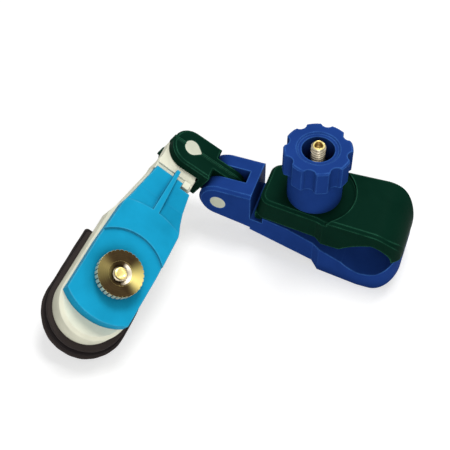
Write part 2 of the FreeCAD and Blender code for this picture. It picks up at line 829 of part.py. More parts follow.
def light_blue_jaw():
    body = new_body("light_blue_jaw", WHITE_CLIP)
    side = new_sketch(body, "XZ", "blue_jaw_side")
    back = "blue_roll_place - blue_roll_radius"
    front = "blue_roll_place + blue_roll_radius"
    outline(side, [
        (back, "blue_roll_level", "-blue_roll_radius"),
        (back, "step_level"),
        ("step_end", "step_level"),
        ("slope_end", "land_level"),
        ("blue_jaw_end + join_overlap", "land_level"),
        ("blue_jaw_end + join_overlap", "white_top"),
        ("blue_lip_start", "white_top"),
        ("blue_lip_start", "white_top + blue_jaw_gap"),
        (front, "white_top + blue_jaw_gap"),
        (front, "blue_roll_level"),
        ("blue_roll_place", "blue_roll_level - blue_roll_radius", "-blue_roll_radius"),
    ])
    pad(body, side, "4 * blue_jaw_half", both_sides=True)
    land = new_sketch(body, "XY", "land", level="land_level")
    land_edge = "land_start + land_front_radius - sqrt(land_front_radius ^ 2 - blue_jaw_half ^ 2)"
    outline(land, [
        (land_edge, "-blue_jaw_half", "land_front_radius"),
        ("nut_place", "-blue_jaw_half"),
        ("nut_place", "blue_jaw_half"),
        (land_edge, "blue_jaw_half"),
        ("land_start", "0", "land_front_radius"),
    ])
    pad(body, land, "land_level - step_level", downwards=True)
    trim_to_plan(body, "blue_jaw_plan", [
        ("0", "blue_jaw_heel_half"),
        ("blue_roll_place", "blue_jaw_heel_half"),
        ("blue_jaw_waist_at", "blue_jaw_waist_half"),
        ("blue_jaw_wide_at", "blue_jaw_wide_half"),
        ("blue_jaw_full_at", "blue_jaw_half"),
        ("blue_jaw_corner_at", "blue_jaw_half"),
        ("blue_jaw_end", "0", "-blue_jaw_end_radius"),
    ])
    notch = new_sketch(body, "XY", "heel_notch")
    box_outline(notch, "-join_overlap", front, "heel_notch_side", "2 * blue_jaw_half")
    pocket(body, notch)
    gusset = new_sketch(body, "XY", "gusset", level="step_level - join_overlap")
    outline(gusset, mirrored([
        ("gusset_tip", "gusset_tip_half"),
        ("land_start + join_overlap", "gusset_root_half"),
    ]))
    pad(body, gusset, "land_level - step_level + join_overlap")
    slope = new_sketch(body, "XZ", "gusset_slope")
    outline(slope, [
        ("gusset_tip - join_overlap", "step_level + gusset_tip_height"),
        ("land_start", "land_level"),
        ("land_start", "land_level + join_overlap"),
        ("gusset_tip - join_overlap", "land_level + join_overlap"),
    ])
    pocket(body, slope)
    hollow = new_sketch(body, "XY", "blue_jaw_hollow",
                        level="land_level - nut_seat_depth - blue_plate")
    outline(hollow, mirrored([
        ("blue_hollow_start", "blue_jaw_waist_half - blue_wall"),
        ("blue_hollow_end", "blue_jaw_half - blue_wall"),
    ]))
    pocket(body, hollow, "4 * land_level")
    seat = new_sketch(body, "XY", "nut_seat", level="land_level")
    outline(seat, [
        ("2 * nut_place", "nut_seat_radius"),
        ("nut_place", "nut_seat_radius"),
        ("nut_place - nut_seat_radius", "0", "nut_seat_radius"),
        ("nut_place", "-nut_seat_radius", "nut_seat_radius"),
        ("2 * nut_place", "-nut_seat_radius"),
    ])
    pocket(body, seat, "nut_seat_depth")
    screw_slot(body, "blue_jaw_screw_slot", "nut_place", "blue_slot_run", "land_level",
               "2 * land_level")


# Thumb nut -----------------------------------------------------------------------------

def thumb_nut():
    body = turned_body("thumb_nut", NUT, [
        ("screw_radius + running_clearance", "nut_washer_thickness"),
        ("nut_collar_radius", "nut_washer_thickness"),
        ("nut_collar_radius", "nut_washer_thickness + nut_collar_height"),
        ("nut_radius", "nut_washer_thickness + nut_collar_height"),
        ("nut_radius", NUT_TOP),
        ("nut_dish_radius", NUT_TOP),
        ("screw_radius + running_clearance", f"{NUT_TOP} - nut_dish_depth"),
    ])
    groove = new_sketch(body, "XY", "knurl_groove",
                        level="nut_washer_thickness + nut_collar_height / 2")
    outline(groove, [
        ("nut_radius - knurl_depth", "0"),
        ("nut_radius + knurl_depth", "-2 * knurl_depth"),
        ("nut_radius + knurl_depth", "2 * knurl_depth"),
    ])
    cut = pocket(body, groove, "2 * nut_thickness", upwards=True)
    repeat(body, "knurl", cut, groove, "knurl_count")


def repeat(body, name, feature, sketch, count):
    """The same cut again and again round the z axis."""
    pattern = body.newObject("PartDesign::PolarPattern", name)
    pattern.Originals = [feature]
    pattern.Axis = (sketch, ["N_Axis"])
    pattern.Angle = 360
    bind(pattern, "Occurrences", count)
    body.Tip = pattern
    settle(body, pattern)


# Strap ---------------------------------------------------------------------------------

def strap_layer(label, index):
    """A flat layer of the strap; each lower one reaches a little further all round."""
    body = new_body(label, WHITE_CLIP)
    start = f"strap_start - {index} * strap_start_step"
    end = f"(strap_end + {index} * strap_end_margin)"
    left = f"(strap_left + {index} * strap_margin)"
    right = f"strap_right + {index} * strap_margin"
    wide = f"(strap_wide_right + {index} * strap_wide_margin)"
    radius = f"(({left} + {wide}) / 2)"
    plan = new_sketch(body, "XY", label + "_plan",
                      level=f"white_floor - {index} * strap_thickness")
    outline(plan, [
        (start, f"-{left}"),
        (f"{end} - {radius}", f"-{left}"),
        (end, f"({wide} - {left}) / 2", radius),
        (f"{end} - {radius}", wide, radius),
        ("strap_wide_at", wide),
        (start, right),
    ])
    pad(body, plan, "strap_thickness", downwards=True)
    bore = new_sketch(body, "XY", label + "_bore")
    ring(bore, "nut_place", "0", "screw_radius + running_clearance")
    pocket(body, bore)


STRAP_FLOOR = "(white_floor - 3 * strap_thickness)"
NUT_SCREW_FLOOR = f"({STRAP_FLOOR} - strap_washer_thickness - screw_head_height)"
UNDER_STRAP = " * ".join([
    WHITE_CLIP, moved("nut_place", "0", f"{STRAP_FLOOR} - strap_washer_thickness")])

blue_base()
base_hinge_pin()
screw("knob_screw", " * ".join([BLUE_CLIP, moved("screw_place")]),
      "(-pin_height + screw_head_recess)",
      "(jaw_top - knob_seat_depth + knob_height + knob_screw_stand)")
green_jaw()
washer("knob_washer", KNOB, "washer_radius", "washer_thickness")
knob()
knob_insert()
green_link()
link_hinge_pin()
white_base()
light_blue_jaw()
screw("nut_screw", " * ".join([WHITE_CLIP, moved("nut_place")]), NUT_SCREW_FLOOR,
      f"(land_level - nut_seat_depth + {NUT_TOP} + nut_screw_stand)")
washer("nut_washer", NUT, "nut_washer_radius", "nut_washer_thickness")
thumb_nut()
strap_layer("strap_upper_layer", 0)
strap_layer("strap_middle_layer", 1)
strap_layer("strap_lower_layer", 2)
washer("strap_washer", UNDER_STRAP, "strap_washer_radius", "strap_washer_thickness")
doc.recompute()

for item in doc.Objects:
    if "Invalid" in item.State or "Error" in item.State:
        raise RuntimeError(f"{item.Label} failed")
for body in sub_parts:
    shape = body.Shape
    if shape.isNull() or not shape.isValid() or len(shape.Solids) != 1:
        raise RuntimeError(f"{body.Label} isn't one sound solid")

os.makedirs("parts", exist_ok=True)
for body in sub_parts:
    body.Shape.exportStep(os.path.join("parts", body.Label + ".step"))
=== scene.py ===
import json
import math
import bmesh
import bpy
from mathutils import Matrix, Vector


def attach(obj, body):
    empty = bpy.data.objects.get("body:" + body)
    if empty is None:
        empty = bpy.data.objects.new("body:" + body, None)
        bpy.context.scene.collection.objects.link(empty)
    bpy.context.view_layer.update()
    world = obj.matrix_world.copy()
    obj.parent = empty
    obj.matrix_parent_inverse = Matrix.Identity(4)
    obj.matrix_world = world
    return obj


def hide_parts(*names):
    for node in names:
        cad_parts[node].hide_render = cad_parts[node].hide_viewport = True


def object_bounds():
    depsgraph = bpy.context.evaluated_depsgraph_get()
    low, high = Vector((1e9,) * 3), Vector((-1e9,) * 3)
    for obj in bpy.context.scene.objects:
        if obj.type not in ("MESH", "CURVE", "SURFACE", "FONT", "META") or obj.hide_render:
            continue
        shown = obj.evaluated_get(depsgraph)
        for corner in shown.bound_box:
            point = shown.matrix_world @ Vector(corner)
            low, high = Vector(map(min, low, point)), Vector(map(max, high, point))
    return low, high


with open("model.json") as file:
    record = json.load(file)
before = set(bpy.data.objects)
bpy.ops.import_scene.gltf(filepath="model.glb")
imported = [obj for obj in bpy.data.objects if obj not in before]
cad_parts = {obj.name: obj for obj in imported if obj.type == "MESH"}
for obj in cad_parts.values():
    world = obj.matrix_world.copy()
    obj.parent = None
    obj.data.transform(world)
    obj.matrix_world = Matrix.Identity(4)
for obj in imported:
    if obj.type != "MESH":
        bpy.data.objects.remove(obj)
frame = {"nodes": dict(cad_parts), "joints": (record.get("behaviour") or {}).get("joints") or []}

CAD_BOX = [list(corner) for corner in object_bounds()]
MM = 0.001
TURN = 2 * math.pi


# Frames of the two clips -----------------------------------------------------------

JOINTS = {joint["name"]: joint for joint in frame["joints"]}


def clip_frame(screw_joint, tilt_joint):
    """A frame on a clamp screw's axis, level with its jaw: x to the clip's nose, z up."""
    up = Vector(JOINTS[screw_joint]["axis"]).normalized()
    across = -Vector(JOINTS[tilt_joint]["axis"]).normalized()
    along = across.cross(up).normalized()
    matrix = Matrix((along, up.cross(along), up)).transposed().to_4x4()
    matrix.translation = Vector(JOINTS[screw_joint]["pos_m"])
    return matrix


KNOB_FRAME = clip_frame("knob_turn", "jaw_tilt")
NUT_FRAME = clip_frame("nut_turn", "blue_jaw_tilt")


def local_points(node, matrix):
    """A CAD node's vertices in a frame."""
    inverse = matrix.inverted()
    return [inverse @ vertex.co for vertex in frame["nodes"][node].data.vertices]


def box_of(points):
    """The lowest and the highest corner of some points."""
    return [Vector([limit(point[axis] for point in points) for axis in range(3)])
            for limit in (min, max)]


# Materials -------------------------------------------------------------------------

def srgb(red, green, blue):
    """A colour in linear light from its 0 to 255 screen values."""
    channels = [value / 255 for value in (red, green, blue)]
    return [value / 12.92 if value <= 0.04045 else ((value + 0.055) / 1.055) ** 2.4
            for value in channels] + [1.0]


def scaled(color, factor, lift=0.0):
    """A colour made darker or lighter."""
    return [min(1.0, channel * factor + lift) for channel in color[:3]] + [1.0]


BEVEL_SAMPLES, SHELTER_SAMPLES = 6, 8
FLAT_COSINE, EDGE_COSINE = 0.998, 0.93   # of the softened normal's turn
OPEN_SKY, HIDDEN_SKY = 0.95, 0.35        # ambient occlusion in the open and in a corner


class Nodes:
    """Builds the node tree of a new material, or of the world."""

    def __init__(self, owner, output="ShaderNodeOutputMaterial"):
        owner.use_nodes = True
        self.owner = owner
        self.tree = owner.node_tree
        self.tree.nodes.clear()
        self.output = self.add(output)

    def add(self, kind, **settings):
        node = self.tree.nodes.new(kind)
        for key, value in settings.items():
            setattr(node, key, value)
        return node

    def join(self, source, target):
        self.tree.links.new(source, target)

    def feed(self, socket, value):
        """Joins a socket to another, or sets it to a number or colour."""
        if isinstance(value, bpy.types.NodeSocket):
            self.join(value, socket)
        else:
            socket.default_value = value

    def object_place(self):
        return self.add("ShaderNodeTexCoord").outputs["Object"]

    def face_normal(self):
        return self.add("ShaderNodeNewGeometry").outputs["Normal"]

    def stretched(self, place, scale):
        node = self.add("ShaderNodeMapping")
        self.join(place, node.inputs["Vector"])
        node.inputs["Scale"].default_value = scale
        return node.outputs["Vector"]

    def noise(self, place, scale, detail=3.0, roughness=0.5, distortion=0.0):
        node = self.add("ShaderNodeTexNoise")
        self.join(place, node.inputs["Vector"])
        node.inputs["Scale"].default_value = scale
        node.inputs["Detail"].default_value = detail
        node.inputs["Roughness"].default_value = roughness
        node.inputs["Distortion"].default_value = distortion
        return node.outputs["Fac"]

    def span(self, value, low, high, to_low=0.0, to_high=1.0):
        """A value's place between low and high, carried over to a second range and clamped."""
        node = self.add("ShaderNodeMapRange")
        self.join(value, node.inputs["Value"])
        for name, number in (("From Min", low), ("From Max", high),
                             ("To Min", to_low), ("To Max", to_high)):
            node.inputs[name].default_value = number
        return node.outputs["Result"]

    def maths(self, operation, first, second=0.0, third=0.0):
        node = self.add("ShaderNodeMath", operation=operation)
        for socket, value in zip(node.inputs, (first, second, third)):
            self.feed(socket, value)
        return node.outputs[0]

    def times(self, first, second):
        return self.maths("MULTIPLY", first, second)

    def ripple(self, value, spacing):
        """A sine wave of a length, one wave to each spacing."""
        return self.maths("SINE", self.times(value, TURN / spacing))

    def vector(self, operation, first, second=(0.0, 0.0, 0.0)):
        node = self.add("ShaderNodeVectorMath", operation=operation)
        self.feed(node.inputs[0], first)
        self.feed(node.inputs[1], second)
        return node.outputs["Value" if operation in ("DOT_PRODUCT", "LENGTH") else "Vector"]

    def dot(self, first, second):
        return self.vector("DOT_PRODUCT", first, second)

    def mix(self, amount, first, second):
        node = self.add("ShaderNodeMix", data_type="RGBA")
        self.feed(node.inputs["Factor"], amount)
        self.feed(node.inputs["A"], first)
        self.feed(node.inputs["B"], second)
        return node.outputs["Result"]

    def rounded(self, radius):
        """The normal with edges softened over a radius."""
        node = self.add("ShaderNodeBevel", samples=BEVEL_SAMPLES)
        node.inputs["Radius"].default_value = radius
        return node.outputs["Normal"]

    def bump(self, height, strength, distance, normal=None):
        node = self.add("ShaderNodeBump")
        self.join(height, node.inputs["Height"])
        node.inputs["Strength"].default_value = strength
        node.inputs["Distance"].default_value = distance
        if normal is not None:
            self.join(normal, node.inputs["Normal"])
        return node.outputs["Normal"]

    def edges(self, radius):
        """1 on an edge, 0 on a flat: how far softening over a radius turns the normal."""
        turned = self.dot(self.rounded(radius), self.face_normal())
        return self.span(turned, FLAT_COSINE, EDGE_COSINE)

    def sheltered(self, reach):
        """1 deep in a corner or under another piece, 0 in the open."""
        node = self.add("ShaderNodeAmbientOcclusion", samples=SHELTER_SAMPLES)
        node.inputs["Distance"].default_value = reach
        return self.span(node.outputs["AO"], OPEN_SKY, HIDDEN_SKY)

    def around_axis(self, place, matrix):
        """A point's distance from a frame's z axis, and the direction straight out to it."""
        from_axis = self.vector("SUBTRACT", place, tuple(matrix.translation))
        axis = matrix.col[2].to_3d()
        lift = self.add("ShaderNodeVectorMath", operation="SCALE")
        lift.inputs[0].default_value = axis
        self.join(self.dot(from_axis, tuple(axis)), lift.inputs["Scale"])
        outward = self.vector("SUBTRACT", from_axis, lift.outputs["Vector"])
        return self.vector("LENGTH", outward), self.vector("NORMALIZE", outward)

    def background_rays(self):
        """1 where the camera sees something itself, mirrored or through glass, else 0."""
        path = self.add("ShaderNodeLightPath").outputs
        return self.maths("MAXIMUM", path["Is Camera Ray"], self.maths(
            "MAXIMUM", path["Is Glossy Ray"], path["Is Transmission Ray"]))

    def surface(self, shader):
        self.join(shader.outputs[0], self.output.inputs["Surface"])
        return self.owner

    def principled(self, color, roughness, normal, metallic=0.0, tangent=None, settings=None):
        shader = self.add("ShaderNodeBsdfPrincipled")
        self.feed(shader.inputs["Base Color"], color)
        self.feed(shader.inputs["Roughness"], roughness)
        self.join(normal, shader.inputs["Normal"])
        self.feed(shader.inputs["Metallic"], metallic)
        if tangent is not None:
            self.join(tangent, shader.inputs["Tangent"])
        for socket, value in (settings or {}).items():
            shader.inputs[socket].default_value = value
        return self.surface(shader)


def new_material(name):
    nodes = Nodes(bpy.data.materials.new(name))
    return nodes, nodes.object_place()


# The low specular level keeps the dark colours from a grey veil under the pale floor's light.
PLASTIC = {"IOR": 1.49, "Specular IOR Level": 0.008}
PLASTIC_ROUND = 0.45 * MM       # how far its edges are softened
PLASTIC_WEAR_AND_HIGHLIGHT = 0.7 * MM       # how far in from an edge the wear and the painted highlight show
PLASTIC_SHADE_REACH = 5.0 * MM      # how far the painted shade reaches out of a corner


def moulded_plastic(name, color, worn_highlight, roughness, corner_shade=0.7):
    """Injection-moulded plastic: faint flow marks, fine grain, softened edges lighter with wear
    and a painted highlight, and painted shade in corners.
    """
    nodes, place = new_material(name)
    flow = nodes.noise(place, 70.0, detail=4.0, distortion=0.6)
    mottle = nodes.noise(place, 420.0)
    light = scaled(color, 1.10, lift=0.001)
    tone = nodes.mix(nodes.span(flow, 0.30, 0.70), scaled(color, 0.86), light)
    tone = nodes.mix(nodes.span(mottle, 0.45, 0.75, to_high=0.18), tone, light)
    patchy = nodes.noise(place, 260.0, detail=5.0, roughness=0.65)
    # Edges take the lighter edge colour: partly wear, partly a painted highlight.
    wear_and_highlight = nodes.times(nodes.edges(PLASTIC_WEAR_AND_HIGHLIGHT), nodes.span(patchy, 0.34, 0.66, 0.15, 0.7))
    tone = nodes.mix(wear_and_highlight, tone, worn_highlight)
    # Painted shade: the colour darkens deep in corners and under other pieces.
    tone = nodes.mix(nodes.times(nodes.sheltered(PLASTIC_SHADE_REACH), corner_shade), tone,
                     scaled(color, 0.35))
    scratch = nodes.noise(nodes.stretched(place, (3.0, 0.25, 1.0)), 1400.0, detail=2.0)
    gloss = nodes.maths("ADD", nodes.span(flow, 0.3, 0.7, roughness - 0.05, roughness + 0.06),
                        nodes.span(scratch, 0.62, 0.75, to_high=0.10))
    grain = nodes.noise(place, 2600.0, detail=2.0)
    sink = nodes.noise(place, 110.0, detail=1.0)
    normal = nodes.bump(sink, 0.25, 0.12 * MM, nodes.rounded(PLASTIC_ROUND))
    normal = nodes.bump(grain, 0.22, 0.02 * MM, normal)
    return nodes.principled(tone, gloss, normal, settings=PLASTIC)


RING_SPACING = 0.16 * MM
COARSE_RING_SPACING = RING_SPACING * 4.3
RING_WOBBLE = 0.04 * MM
TURNED_EDGE = 0.12 * MM
TURNED_ROUGHNESS = 0.42
# A painted highlight for the knurl's crests and painted shade for its grooves.
KNURL_CREST_HIGHLIGHT, KNURL_GROOVE_SHADE = srgb(240, 228, 196), srgb(36, 27, 15)
DISH_GLINT = srgb(250, 240, 220)


def turned_metal(name, color, tarnish, highlight_tone, matrix, highlight_side, crest, dish):
    """Lathe-turned metal about a frame's z axis: fine rings, and a painted highlight.

    The highlight is painted, with a weaker one opposite, on the side the given direction
    points to; crest is the knurl's outer radius, and inside the radius dish a painted glint is
    nearly white."""
    nodes, place = new_material(name)
    radius, outward = nodes.around_axis(place, matrix)
    wobble = nodes.span(nodes.noise(place, 900.0), 0.0, 1.0, -RING_WOBBLE, RING_WOBBLE)
    rings = nodes.ripple(nodes.maths("ADD", radius, wobble), RING_SPACING)
    coarse = nodes.ripple(radius, COARSE_RING_SPACING)
    patches = nodes.noise(place, 300.0, detail=5.0, roughness=0.6, distortion=0.5)
    tone = nodes.mix(nodes.span(patches, 0.38, 0.68, to_high=0.8), color, tarnish)
    tone = nodes.mix(nodes.span(coarse, -1.0, 1.0, to_high=0.35), tone, tarnish)

    # Painted highlight: a bright sector on the given side and a weaker one opposite, fixed to
    # the part.
    facing = nodes.dot(outward, tuple((matrix.to_3x3() @ Vector(highlight_side)).normalized()))
    for low, high, strength in ((0.45, 1.0, 0.95), (-0.5, -1.0, 0.20)):
        sector = nodes.maths("POWER", nodes.span(facing, low, high), 3.0)
        tone = nodes.mix(nodes.times(sector, strength), tone, highlight_tone)
    # Edges take the highlight colour: partly wear, partly a painted highlight.
    tone = nodes.mix(nodes.times(nodes.edges(TURNED_EDGE), 0.6), tone, highlight_tone)

    # On the knurl's sides the crests take a painted highlight and the grooves painted shade.
    upright = nodes.maths("ABSOLUTE", nodes.dot(
        nodes.face_normal(), tuple(matrix.col[2].to_3d())))
    side = nodes.times(nodes.span(upright, 0.5, 0.2),
                       nodes.span(radius, crest - 1.2 * MM, crest - 1.0 * MM))
    groove = nodes.span(radius, crest - 0.05 * MM, crest - 0.2 * MM)
    tone = nodes.mix(side, tone, nodes.mix(groove, KNURL_CREST_HIGHLIGHT, KNURL_GROOVE_SHADE))
    # A painted glint inside the dish, on the highlighted side.
    glint = nodes.times(nodes.span(facing, 0.2, 0.8), nodes.span(radius, dish, dish - 0.15 * MM))
    tone = nodes.mix(glint, tone, DISH_GLINT)

    gloss = nodes.span(patches, 0.35, 0.7, TURNED_ROUGHNESS - 0.06, TURNED_ROUGHNESS + 0.10)
    normal = nodes.bump(nodes.span(coarse, -1.0, 1.0), 0.25, 0.02 * MM,
                        nodes.rounded(TURNED_EDGE))
    normal = nodes.bump(nodes.span(rings, -1.0, 1.0), 0.35, 0.008 * MM, normal)
    return nodes.principled(tone, gloss, normal, metallic=nodes.span(side, 0.0, 1.0, 1.0, 0.5),
                            tangent=outward, settings={"Anisotropic": 0.8})


THREAD_SHELTER = 0.5 * MM
METAL_ROUND = 0.08 * MM


def plain_metal(name, color, tarnish, roughness=0.28):
    """Metal with patches of tarnish, darker where it is sheltered deep in the grooves of a
    thread.
    """
    nodes, place = new_material(name)
    patches = nodes.noise(place, 500.0, detail=5.0, roughness=0.6)
    tone = nodes.mix(nodes.span(patches, 0.4, 0.7, to_high=0.8), color, tarnish)
    tone = nodes.mix(nodes.sheltered(THREAD_SHELTER), tone, scaled(tarnish, 0.2))
    gloss = nodes.span(patches, 0.3, 0.7, roughness - 0.06, roughness + 0.12)
    normal = nodes.bump(nodes.noise(place, 3000.0), 0.2, 0.01 * MM, nodes.rounded(METAL_ROUND))
    return nodes.principled(tone, gloss, normal, metallic=1.0)


YARN_SPACING = 0.62 * MM
RIB_SPACING = 0.48 * MM
EDGE_RIB_SPACING = 0.42 * MM
YARN_WANDER = 0.12 * MM


def webbing(name, color, lint):
    """Close woven strap: ribs across it, yarns along it, a little lint."""
    nodes, place = new_material(name)
    wander = nodes.span(nodes.noise(place, 350.0), 0.0, 1.0, -YARN_WANDER, YARN_WANDER)
    rib, yarn, edge_rib = (
        nodes.ripple(nodes.maths("ADD", nodes.dot(place, tuple(axis.to_3d())), wander), spacing)
        for axis, spacing in zip(NUT_FRAME.col, (RIB_SPACING, YARN_SPACING, EDGE_RIB_SPACING)))
    weave = nodes.maths("MULTIPLY_ADD", nodes.times(yarn, rib), 0.6,
                        nodes.times(edge_rib, 0.25))
    fuzz = nodes.noise(place, 1500.0, detail=5.0, roughness=0.7)
    patches = nodes.noise(place, 90.0, detail=4.0)
    dark = scaled(color, 0.62)
    tone = nodes.mix(nodes.span(weave, -0.8, 0.8), dark, color)
    tone = nodes.mix(nodes.span(patches, 0.35, 0.7, to_high=0.45), tone, dark)
    tone = nodes.mix(nodes.span(fuzz, 0.60, 0.80, to_high=0.35), tone, lint)
    normal = nodes.bump(nodes.span(weave, -1.0, 1.0), 0.55, 0.07 * MM)
    normal = nodes.bump(fuzz, 0.3, 0.04 * MM, normal)
    return nodes.principled(tone, nodes.span(fuzz, 0.3, 0.7, 0.74, 0.95), normal,
                            settings={"Specular IOR Level": 0.06, "Sheen Weight": 0.02})


# The second colour of each plastic is for its edges: wear, and a painted highlight.
blue = moulded_plastic("royal_blue_plastic", srgb(29, 62, 133), srgb(78, 136, 218), 0.46)
green = moulded_plastic("dark_green_plastic", srgb(6, 41, 29), srgb(58, 124, 95), 0.46)
light_blue = moulded_plastic("light_blue_plastic", srgb(24, 156, 199), srgb(84, 190, 224), 0.42)
white = moulded_plastic("white_plastic", srgb(243, 242, 219), srgb(248, 247, 232), 0.45,
                        corner_shade=0.2)
pin_white = moulded_plastic("pin_plastic", srgb(214, 217, 196), srgb(228, 230, 214), 0.42,
                            corner_shade=0.2)
# Each turned part takes a painted highlight on the side its direction points to.
nut_brass = turned_metal(
    "turned_brass", srgb(72, 58, 36), srgb(50, 39, 25), srgb(236, 218, 134), NUT_FRAME,
    highlight_side=(-0.36, 0.93, 0.0), crest=box_of(local_points("thumb_nut", NUT_FRAME))[1].x,
    dish=3.65 * MM)
# The insert has no knurl: its crest lies outside it.
insert_brass = turned_metal(
    "insert_brass", srgb(150, 122, 70), srgb(96, 78, 46), srgb(214, 186, 110), KNOB_FRAME,
    highlight_side=(0.0, -1.0, 0.0), crest=9.0 * MM, dish=0.5 * MM)
screw_brass = plain_metal("plated_screw", srgb(196, 186, 164), srgb(120, 104, 78))
screw_tip = plain_metal("bright_screw_tip", srgb(246, 230, 150), srgb(214, 184, 104), 0.3)
screw_cup = plain_metal("dark_screw_cup", srgb(150, 122, 70), srgb(84, 66, 38), 0.35)
steel = plain_metal("washer_steel", srgb(186, 184, 178), srgb(120, 116, 110))
strap_cloth = webbing("strap_weave", srgb(62, 55, 53), srgb(84, 77, 74))
strap_inner = webbing("strap_inner_weave", srgb(38, 33, 33), srgb(70, 63, 61))

FINISHES = {
    "blue_base": blue, "knob": blue, "green_jaw": green, "green_link": green,
    "base_hinge_pin": pin_white, "link_hinge_pin": pin_white, "white_base": white,
    "light_blue_jaw": light_blue, "thumb_nut": nut_brass, "knob_insert": insert_brass,
    "knob_washer": steel, "nut_washer": steel, "strap_washer": steel,
}
MOULDED = (blue, green, light_blue, white)
MOULDED_SHARP, OTHER_SHARP, SCREW_SHARP, STRAP_SHARP = (
    math.radians(degrees) for degrees in (52, 24, 50, 60))


def smooth_faces(mesh, sharp_angle):
    """Shades a mesh smooth, but for the edges that are sharper than an angle."""
    mesh.polygons.foreach_set("use_smooth", [True] * len(mesh.polygons))
    mesh.set_sharp_from_angle(angle=sharp_angle)


for node_name, finish in FINISHES.items():
    node = frame["nodes"][node_name]
    node.data.materials.clear()
    node.data.materials.append(finish)
    moulded = finish in MOULDED
    smooth_faces(node.data, MOULDED_SHARP if moulded else OTHER_SHARP)
    if moulded:
        weighted = node.modifiers.new("weighted", "WEIGHTED_NORMAL")
        weighted.keep_sharp = True


# Pieces ----------------------------------------------------------------------------

def skin(build, rings, finish_at=lambda row: 0):
    """Faces from each ring of vertices to the next; finish_at gives a row's material."""
    count = len(rings[0])
    for row, (below, above) in enumerate(zip(rings, rings[1:])):
        for side in range(count):
            following = (side + 1) % count
            face = build.faces.new((below[side], below[following],
                                    above[following], above[side]))
            face.material_index = finish_at(row)


def new_piece(build, name, materials, sharp_angle, body, node):
    """Makes a piece from a bmesh. It rides on a body and stands for a CAD node."""
    bmesh.ops.recalc_face_normals(build, faces=build.faces)
    mesh = bpy.data.meshes.new(name)
    build.to_mesh(mesh)
    build.free()
    piece = bpy.data.objects.new(name, mesh)
    bpy.context.scene.collection.objects.link(piece)
    for material in materials:
        mesh.materials.append(material)
    smooth_faces(mesh, sharp_angle)
    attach(piece, body)
    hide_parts(node)
    return piece


# A No. 10 screw: 24 threads an inch, 4.8 mm across the crests. ROOT_FLAT and FLANK are
# shares of half a pitch.
PITCH = 1.058 * MM
THREAD_CREST, THREAD_ROOT = 2.4 * MM, 1.86 * MM
ROOT_FLAT, FLANK = 0.12, 0.70
THREAD_FADE = 0.9 * MM              # over which the thread runs out at the tip
THREAD_END = 0.25 * MM              # the thread's last turn is this far below the tip
SHANK = THREAD_CREST * 0.96
SHANK_END = 0.2 * MM                # how far below the thread the plain shank ends
HEAD_HEIGHT = 2.4 * MM
HEAD_ROUND, HEAD_TOP_ROUND = 0.3 * MM, 0.25 * MM
SCREW_SIDES, STEPS_A_TURN = 56, 10
ON_AXIS, WELD = 1e-5, 2e-5          # a ring this small is closed by welding
TIP_ROWS = ((1.66, 0.0), (1.36, 0.08), (1.24, 0.3), (1.0, 0.75), (0.55, 0.95), (0.0, 1.0))
TIP_WAVES, TIP_DENT, TIP_PHASE = 3, 0.07, 0.8    # the filed tip isn't quite round


def threaded_screw(name, node, matrix, body, thread_length, cup_depth, cup_finish):
    """A round-headed screw with a rolled thread at its top and a cupped or filed tip."""
    low, high = box_of(local_points(node, matrix))
    floor, tip, head_radius = low.z, high.z, high.x
    head_top = floor + HEAD_HEIGHT
    start = tip - thread_length
    build = bmesh.new()

    def ring(height, radius_at):
        corners = []
        for side in range(SCREW_SIDES):
            angle = TURN * side / SCREW_SIDES
            radius = max(radius_at(angle), ON_AXIS)
            corners.append(build.verts.new(matrix @ Vector((
                radius * math.cos(angle), radius * math.sin(angle), height))))
        return corners

    def thread_ring(height):
        fade = min(1.0, (tip - height) / THREAD_FADE)

        def radius_at(angle):
            phase = (height / PITCH - angle / TURN) % 1.0
            flank = (1 - abs(2 * phase - 1) - ROOT_FLAT) / FLANK
            return THREAD_ROOT + (THREAD_CREST - THREAD_ROOT) * min(1.0, max(0.0, flank)) * fade

        return ring(height, radius_at)

    rows = ((0.0, floor), (head_radius * 0.55, floor), (head_radius - HEAD_ROUND, floor),
            (head_radius, floor + HEAD_ROUND), (head_radius, head_top - HEAD_ROUND),
            (head_radius - HEAD_TOP_ROUND, head_top), (SHANK, head_top),
            (SHANK, start - SHANK_END))
    rings = [ring(height, lambda angle: radius) for radius, height in rows]
    count = int(thread_length / PITCH * STEPS_A_TURN)
    rings += [thread_ring(start + (thread_length - THREAD_END) * step / count)
              for step in range(count + 1)]
    last_thread = len(rings) - 1
    rings += [ring(tip - depth * cup_depth, lambda angle: radius * MM * (
        1 + TIP_DENT * math.cos(TIP_WAVES * angle + TIP_PHASE))) for radius, depth in TIP_ROWS]
    skin(build, rings, lambda row: 2 if row > last_thread + 1 else int(row >= last_thread))
    bmesh.ops.remove_doubles(build, verts=build.verts, dist=WELD)
    new_piece(build, name, (screw_brass, screw_tip, cup_finish), SCREW_SHARP, body,
              node)


threaded_screw("knob_screw_thread", "knob_screw", KNOB_FRAME, "blue_clip",
               thread_length=16 * MM, cup_depth=1.3 * MM, cup_finish=screw_cup)
threaded_screw("nut_screw_thread", "nut_screw", NUT_FRAME, "white_clip",
               thread_length=8 * MM, cup_depth=0.2 * MM, cup_finish=screw_tip)

STRAP_CORNER = 1.1 * MM
CUT_END_REACH, WIDEST_REACH = 0.5 * MM, 0.02 * MM    # what counts as at the end or widest
CORNER_STEPS, FLARE_STEPS, ROUND_STEPS, SIDE_STEPS = 6, 14, 60, 16
# A layer's selvedge: how far each row lies outside the outline in mm, and its share of the
# thickness.
SELVEDGE = ((-0.55, 0.03), (-0.22, 0.12), (-0.06, 0.30), (0.0, 0.5), (-0.05, 0.70),
            (-0.2, 0.88), (-0.5, 0.97))


